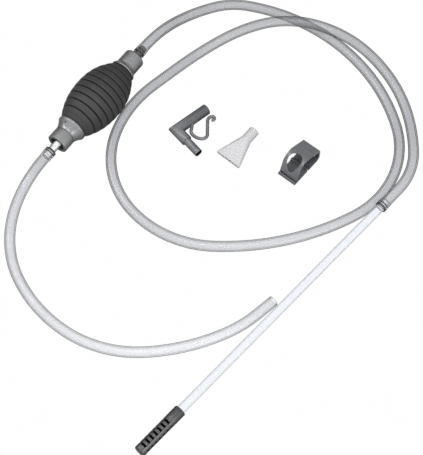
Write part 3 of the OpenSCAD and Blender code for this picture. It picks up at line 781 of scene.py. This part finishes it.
def build_elbow():
    place = lying(mount_origin("elbow_socket", 34.8), heading_of(mounts["elbow_socket"]["axis"]))
    end, shoulder, deep = ELBOW_SHOULDER + STUB_L, ELBOW_SHOULDER, ELBOW_L - ELBOW_SOCKET
    stub = [(end, STUB_R - 0.35), (end - 0.35, STUB_R), (end - 7, STUB_R), (shoulder + 0.2, STUB_R)]
    stub += [(shoulder, STUB_R + 0.2), (shoulder, ELBOW_R - 0.5), (shoulder - 0.5, ELBOW_R)]
    main = [(ELBOW_L - 0.5, ELBOW_R), (ELBOW_L, ELBOW_R - 0.5), (ELBOW_L, ELBOW_SOCKET_R + 0.3)]
    main += [(ELBOW_L - 0.3, ELBOW_SOCKET_R), (deep, ELBOW_SOCKET_R), (deep, ELBOW_DUCT_R)]
    duct = [(end - 4, ELBOW_DUCT_R), (end - 0.2, 4.2), (end, 4.4)]
    rings = [stub_ring(z, r) for z, r in stub] + [stub_ring(0, ELBOW_R, mitre=True)]
    rings += [main_ring(z, r) for z, r in main] + [stub_ring(0, ELBOW_DUCT_R, mitre=True)]
    rings += [stub_ring(z, r) for z, r in duct]
    elbow = loft("hanger_elbow_pipe", rings, True, place, smooth_angle=32)
    fix_normals(elbow)
    bevel(elbow, 0.5, angle=60)
    apply_modifiers(elbow)

    path = stations((HOOK_START, HOOK_HEADING, 0.0), HOOK_LAY, max_bend=6, max_run=1.5)
    rings = [ring_at(station, HOOK_R, 28) for station in path]
    for a in (0.4, 0.8, 1.15, 1.4):
        rings.append(ring_at(ahead(path[-1], HOOK_R * math.sin(a)), HOOK_R * math.cos(a), 28))
    hook = loft("hanger_elbow_hook", rings, False, place, smooth_angle=60)
    fix_normals(hook)
    cut(elbow, hook, "UNION")
    elbow.data.set_sharp_from_angle(angle=math.radians(38))
    # Painted shade: the socket, the duct and the stub's mouth get the near-black finish
    paint_bore_shade(elbow, place, in_elbow_bore)
    dress(elbow, "hanger_elbow", [GREY_PLASTIC, PAINTED_BORE_SHADE], "elbow")


# ---- flat nozzle ----


def nozzle_ring(x, radius, half_span, sides=96):
    """A ring at x, round where half_span is zero and else pulled apart sideways into a flat mouth."""
    ring = []
    for across, up in circle(1.0, sides):
        spread = half_span * max(-1.0, min(1.0, 4 * across))
        ring.append((x, radius * across + spread, radius * up))
    return ring


def build_nozzle():
    """A round neck that fans out to a wide flat mouth, hollow right through."""
    length, neck_l, neck_r, bore_r, funnel_r = 49.5, 15.0, 6.4, 5.3, 4.7
    mouth_w, mouth_h, wall, lip_l = 34.4, 5.4, 1.2, 1.6
    mouth_r, half = mouth_h / 2, (mouth_w - mouth_h) / 2
    neck_x, socket_x = length - neck_l, length - neck_l + 1
    steps = [k / 16 for k in range(17)]
    # Each section is (x, radius, half span)
    outer = [(0, mouth_r - 0.35, half), (0.35, mouth_r, half)]
    outer += [(lip_l + (neck_x - lip_l) * t, mouth_r + (neck_r - mouth_r) * t, half * (1 - t)) for t in steps]
    outer += [(length - 0.4, neck_r, 0), (length, neck_r - 0.4, 0)]
    slit_r = mouth_r - wall
    inner = [(length, bore_r + 0.3, 0), (length - 0.3, bore_r, 0), (socket_x, bore_r, 0)]
    inner += [(socket_x * t, slit_r + (funnel_r - slit_r) * t, half * (1 - t)) for t in reversed(steps)]
    axis = mounts["nozzle_socket"]["axis"]
    tilt = math.degrees(math.asin(axis[2]))
    place = lying(mount_origin("nozzle_socket", 42.5), heading_of(axis), tilt)
    rings = [nozzle_ring(*part) for part in outer + inner]
    nozzle = loft("flat_nozzle_shell", rings, True, place, smooth_angle=40)
    fix_normals(nozzle)
    dress(nozzle, "flat_nozzle", [NOZZLE_PLASTIC], "nozzle")


# ---- flow clamp ----

CLAMP_W, STRIP_T, BASE_T = 24.5, 2.0, 2.2
HUMP_AT, HUMP_R, HUMP_START, HUMP_END = Vector((20.5, 16.0)), 13.4, 162.4, 64.0
HINGE_AT, KNUCKLE_R = Vector((47.0, 16.9)), 1.1
WALL_X, WALL_TOP, FOLD_R = 48.2, 15.5, 6.5
RIDGE_X = 25.5
END_HOLE_R, FINGER_HOLE_R = 6.0, 8.8
CLAMP_EDGE = 0.4


def build_clamp():
    """The clamp's own +X runs from the toothed lip to the hinge, whose place and axis the frame gives."""
    hinge = joints["clamp_flex"]
    across = Vector(hinge["axis"])
    heading = heading_of((-across.y, across.x))
    pivot = Vector(hinge["pos_m"]) / MM
    place = lying(pivot - HINGE_AT.x * direction(heading) - Vector((0, 0, HINGE_AT.y)), heading)
    build_clamp_base(place)
    build_clamp_lever(place)


def build_clamp_base(place):
    """Strip bent up at the hinge, with a toothed lip at the other end and a pinching ridge between."""
    fold = (WALL_X - FOLD_R, FOLD_R)
    outline = (
        [(0, 5), (0, 1), (0.3, 0.3), (1, 0), (RIDGE_X - 1.6, 0), (RIDGE_X, 3.4), (RIDGE_X + 1.6, 0)]
        + arc(fold, FOLD_R, -90, 0, 20)
        + [(WALL_X, WALL_TOP), (WALL_X - BASE_T, WALL_TOP)]
        + arc(fold, FOLD_R - BASE_T, 0, -90, 20)
        + [(RIDGE_X + 3, BASE_T), (RIDGE_X, 6), (RIDGE_X - 3, BASE_T), (1.8, BASE_T)]
        + [(1.8, 2.8), (2.3, 2.8), (1.8, 3.6), (1.8, 4.2), (2.3, 4.2), (1.8, 5)]
    )
    base = extrude("clamp_base_strip", outline, CLAMP_W, place)
    end_hole = place @ Matrix.Translation((40, 0, 8.8)) @ Matrix.Rotation(math.pi / 2, 4, "Y")
    cut(base, rod(END_HOLE_R, 20, end_hole))
    bevel(base, CLAMP_EDGE, 2, 40)
    apply_modifiers(base)
    dress(base, "clamp_base", [CLAMP_PLASTIC], "clamp")


def build_clamp_lever(place):
    """Strip arched over the finger hole, with small ribs under its straight part."""
    # Out points away from the hump's centre where the straight part starts, and along runs to the hinge
    out = Vector((math.cos(math.radians(HUMP_END)), math.sin(math.radians(HUMP_END))))
    along = Vector((out.y, -out.x))
    inner_r = HUMP_R - STRIP_T
    ribs = []
    for i in (2, 1, 0):
        foot = HUMP_AT + inner_r * out + (5 + 4.4 * i) * along
        ribs += [tuple(foot + 0.8 * along), tuple(foot - 1.2 * out), tuple(foot - 0.8 * along)]
    outline = (
        [(3.0, 3.9)]
        + arc(HUMP_AT, HUMP_R, HUMP_START, HUMP_END, 30)
        + arc(HINGE_AT, KNUCKLE_R, HUMP_END, HUMP_END - 180, 12)
        + ribs
        + arc(HUMP_AT, inner_r, HUMP_END, HUMP_START, 30)
        + [(4.9, 3.6)]
    )
    lever = extrude("clamp_lever_strip", outline, CLAMP_W, place)
    cut(lever, rod(FINGER_HOLE_R, 30, place @ Matrix.Translation((14.2, 0, 5))))
    bevel(lever, CLAMP_EDGE, 2, 40)
    apply_modifiers(lever)
    dress(lever, "clamp_lever", [CLAMP_PLASTIC], "lever")


# ---- valves ----

VALVE_FINISHES = {
    "seal": SEAL_RUBBER,
    "valve_seat": VALVE_PLASTIC,
    "valve_cage": VALVE_PLASTIC,
    "valve_disc": DISC_RUBBER,
}


def finish_valves():
    """The valve pieces shut in the caps keep their CAD shapes."""
    for end in ("inlet", "outlet"):
        for part, finish in VALVE_FINISHES.items():
            node = frame["nodes"][end + "_" + part]
            node.data.materials.clear()
            node.data.materials.append(finish)


# ---- stage, in metres ----

VIEW_TARGET = Vector((-0.0034, -0.0207, 0.0))
ELEVATION, DISTANCE, LENS = 61.5, 1.6975, 116.3
FLOOR_HALF, FLOOR_GAP = 4.0, 0.0007


def add_camera():
    """Looks along +Y and down at the elevation. Lens and sensor are in millimetres."""
    tilt = math.radians(ELEVATION)
    camera = bpy.data.objects.new("camera", bpy.data.cameras.new("camera"))
    camera.data.lens = LENS
    camera.data.sensor_width = 36
    camera.data.clip_end = 20.0
    camera.location = VIEW_TARGET + DISTANCE * Vector((0, -math.cos(tilt), math.sin(tilt)))
    camera.rotation_euler = (math.pi / 2 - tilt, 0, 0)
    bpy.context.scene.collection.objects.link(camera)
    bpy.context.scene.camera = camera


def add_floor():
    """White paper that shows no shade to the camera, and only lights the object softly from below."""
    g = Graph("floor_paper")
    seen = g.node("LightPath", output="Is Camera Ray")
    fibre = g.range(g.noise(40, 4), 0.985, 1.01)
    tone = g.node("CombineColor", {0: fibre, 1: fibre, 2: fibre})
    paper = g.node("Emission", {"Color": tone, "Strength": 1.0})
    dim = g.node("BsdfDiffuse", {"Color": grey(0.35)})
    finish = g.finish(g.node("MixShader", {"Fac": seen, 1: dim, 2: paper}))
    corner_points = [(x, y, 0) for x, y in rectangle(2 * FLOOR_HALF / MM, 2 * FLOOR_HALF / MM)]
    floor = make_object("floor", corner_points, [(0, 1, 2, 3)])
    floor.location.z = -FLOOR_GAP
    floor.data.materials.append(finish)


def add_light(name, at, target, size, power, size_y=None):
    lamp = bpy.data.lights.new(name, "AREA")
    lamp.shape = "RECTANGLE"
    lamp.size, lamp.size_y = size, size_y or size
    lamp.energy = power
    made = bpy.data.objects.new(name, lamp)
    made.location = at
    made.rotation_euler = (Vector(target) - Vector(at)).to_track_quat("-Z", "Y").to_euler()
    bpy.context.scene.collection.objects.link(made)


def add_lights():
    """Three soft lamps, and a sky that is brighter to the front right."""
    add_light("overhead", (-0.1, -0.3, 1.7), (0, 0, 0), 0.9, 18)
    add_light("front_right", (0.9, -1.3, 0.8), (0, 0, 0), 0.9, 22)
    add_light("left_strip", (-0.9, 0.4, 1.1), (-0.1, 0.1, 0), 0.25, 14, 1.0)
    world = bpy.data.worlds.new("studio")
    bpy.context.scene.world = world
    g = Graph("studio", world)
    where = g.node("TexCoord", output="Generated")
    bright_side = (0.5, -0.87, 0)
    towards = g.node("VectorMath", {0: where, 1: bright_side}, "Value", operation="DOT_PRODUCT")
    stops = [(0.0, 0.08), (0.45, 0.3), (0.75, 0.8), (1.0, 1.0)]
    tone = g.ramp(g.maths("MULTIPLY_ADD", towards, 0.5, 0.5), stops)
    lit = g.node("Background", {"Color": tone, "Strength": 0.7})
    # The camera sees the same white paper behind the floor's edge
    paper = g.node("Background", {"Color": grey(1.0), "Strength": 1.0})
    seen = g.node("LightPath", output="Is Camera Ray")
    g.node("OutputWorld", {"Surface": g.node("MixShader", {"Fac": seen, 1: lit, 2: paper})})
    bpy.context.scene.view_settings.view_transform = "Standard"


build_bulb()
build_inlet_cap()
build_outlet_cap()
build_barbs()
exit_station = build_hoses()
build_rigid_tube(exit_station)
build_strainer(exit_station)
build_elbow()
build_nozzle()
build_clamp()
finish_valves()
add_camera()
add_floor()
add_lights()
